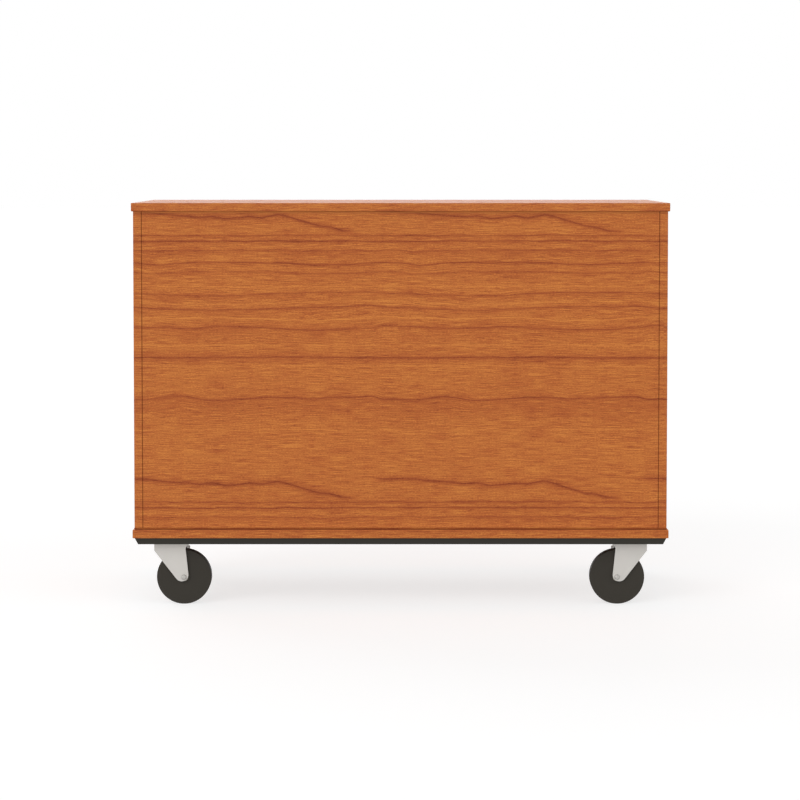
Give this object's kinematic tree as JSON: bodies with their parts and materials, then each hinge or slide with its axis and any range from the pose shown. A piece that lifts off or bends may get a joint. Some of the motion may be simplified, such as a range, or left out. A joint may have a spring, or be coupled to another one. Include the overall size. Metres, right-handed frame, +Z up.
{
  "type": "mobile storage cabinet",
  "caption": "Low wheeled storage cabinet: wood-grain case with overlay doors, inner shelves, a lock, a sloped steel base skirt and swivel casters with brakes.",
  "frame": {"origin": "on the floor, at the middle of the overall width and depth", "axes": "+X to the right of someone facing the doors, +Y to the plain rear, +Z up"},
  "size_m": [1.2292, 0.6426, 0.9208],
  "materials": {
    "cherry_laminate": "satin wood-grain laminate",
    "dowel_wood": "raw beech",
    "black_steel": "fine powder coat",
    "zinc_steel": "zinc plated",
    "bearing_steel": "bright",
    "wheel_rubber": "matt hard rubber",
    "bush_nylon": "matt",
    "pedal_black": "powder coat",
    "satin_nickel": "satin nickel",
    "lock_chrome": "bright",
    "catch_plastic": "matt"
  },
  "bodies": {
    "cabinet": {"top_panel": "cherry_laminate", "bottom_panel": "cherry_laminate", "left_side_panel": "cherry_laminate", "right_side_panel": "cherry_laminate", "back_panel": "cherry_laminate", "lower_shelf": "cherry_laminate", "upper_shelf": "cherry_laminate", "shelf_pins": "satin_nickel", "panel_dowels": "dowel_wood", "base_frame": "black_steel", "caster_bolts": "zinc_steel", "caster_king_pins": "zinc_steel", "caster_balls": "bearing_steel", "door_catches": "catch_plastic", "left_hinge_frame_leaves": "satin_nickel", "right_hinge_frame_leaves": "satin_nickel", "left_hinge_pins": "satin_nickel", "right_hinge_pins": "satin_nickel", "rear_left_caster_plate": "zinc_steel", "rear_right_caster_plate": "zinc_steel", "front_left_caster_plate": "zinc_steel", "front_right_caster_plate": "zinc_steel"},
    "left_door": {"left_door": "cherry_laminate", "left_pull": "satin_nickel", "left_hinge_door_leaves": "satin_nickel", "left_strike_plate": "zinc_steel", "lock_keeper": "zinc_steel", "bolt_housing": "zinc_steel"},
    "slide_bolt": {"slide_bolt": "satin_nickel"},
    "right_door": {"right_door": "cherry_laminate", "right_pull": "satin_nickel", "right_hinge_door_leaves": "satin_nickel", "right_strike_plate": "zinc_steel", "lock_body": "lock_chrome", "lock_nut": "zinc_steel"},
    "lock": {"lock_plug": "lock_chrome", "lock_cam": "zinc_steel"},
    "rear_left_swivel": {"rear_left_fork": "zinc_steel", "rear_left_axle": "bearing_steel"},
    "rear_left_wheel": {"rear_left_wheel": "wheel_rubber", "rear_left_wheel_bush": "bush_nylon"},
    "rear_right_swivel": {"rear_right_fork": "zinc_steel", "rear_right_axle": "bearing_steel"},
    "rear_right_wheel": {"rear_right_wheel": "wheel_rubber", "rear_right_wheel_bush": "bush_nylon"},
    "front_left_swivel": {"front_left_fork": "zinc_steel", "front_left_axle": "bearing_steel", "front_left_brake_pin": "bearing_steel"},
    "front_left_wheel": {"front_left_wheel": "wheel_rubber", "front_left_wheel_bush": "bush_nylon"},
    "front_left_brake": {"front_left_brake_pedal": "pedal_black"},
    "front_right_swivel": {"front_right_fork": "zinc_steel", "front_right_axle": "bearing_steel", "front_right_brake_pin": "bearing_steel"},
    "front_right_wheel": {"front_right_wheel": "wheel_rubber", "front_right_wheel_bush": "bush_nylon"},
    "front_right_brake": {"front_right_brake_pedal": "pedal_black"}
  },
  "joints": [
    {"name": "left_door_hinge", "type": "hinge", "parent": "cabinet", "child": "left_door", "pos_m": [-0.6101, -0.26525, 0.54], "axis": [0, 0, -1], "range_deg": [0, 195]},
    {"name": "right_door_hinge", "type": "hinge", "parent": "cabinet", "child": "right_door", "pos_m": [0.6101, -0.26525, 0.54], "axis": [0, 0, 1], "range_deg": [0, 195]},
    {"name": "lock_turn", "type": "hinge", "parent": "right_door", "child": "lock", "pos_m": [0.0275, -0.2863, 0.8367], "axis": [0, 1, 0], "range_deg": [0, 90]},
    {"name": "bolt_slide", "type": "slide", "parent": "left_door", "child": "slide_bolt", "axis": [0, 0, 1], "range_m": [0, 0.015]},
    {"name": "rear_left_caster_swivel", "type": "hinge", "parent": "cabinet", "child": "rear_left_swivel", "pos_m": [-0.5271, 0.2463, 0.15], "axis": [0, 0, 1], "continuous": true},
    {"name": "rear_left_wheel_spin", "type": "hinge", "parent": "rear_left_swivel", "child": "rear_left_wheel", "pos_m": [-0.4971, 0.2463, 0.0625], "axis": [0, 1, 0], "continuous": true},
    {"name": "rear_right_caster_swivel", "type": "hinge", "parent": "cabinet", "child": "rear_right_swivel", "pos_m": [0.5271, 0.2463, 0.15], "axis": [0, 0, 1], "continuous": true},
    {"name": "rear_right_wheel_spin", "type": "hinge", "parent": "rear_right_swivel", "child": "rear_right_wheel", "pos_m": [0.4971, 0.2463, 0.0625], "axis": [0, 1, 0], "continuous": true},
    {"name": "front_left_caster_swivel", "type": "hinge", "parent": "cabinet", "child": "front_left_swivel", "pos_m": [-0.546, -0.2133, 0.15], "axis": [0, 0, 1], "continuous": true},
    {"name": "front_left_wheel_spin", "type": "hinge", "parent": "front_left_swivel", "child": "front_left_wheel", "pos_m": [-0.546, -0.2433, 0.0625], "axis": [1, 0, 0], "continuous": true},
    {"name": "front_left_brake_press", "type": "hinge", "parent": "front_left_swivel", "child": "front_left_brake", "pos_m": [-0.546, -0.2383, 0.134], "axis": [1, 0, 0], "range_deg": [0, 15]},
    {"name": "front_right_caster_swivel", "type": "hinge", "parent": "cabinet", "child": "front_right_swivel", "pos_m": [0.546, -0.2133, 0.15], "axis": [0, 0, 1], "continuous": true},
    {"name": "front_right_wheel_spin", "type": "hinge", "parent": "front_right_swivel", "child": "front_right_wheel", "pos_m": [0.546, -0.2433, 0.0625], "axis": [1, 0, 0], "continuous": true},
    {"name": "front_right_brake_press", "type": "hinge", "parent": "front_right_swivel", "child": "front_right_brake", "pos_m": [0.546, -0.2383, 0.134], "axis": [1, 0, 0], "range_deg": [0, 15]}
  ]
}
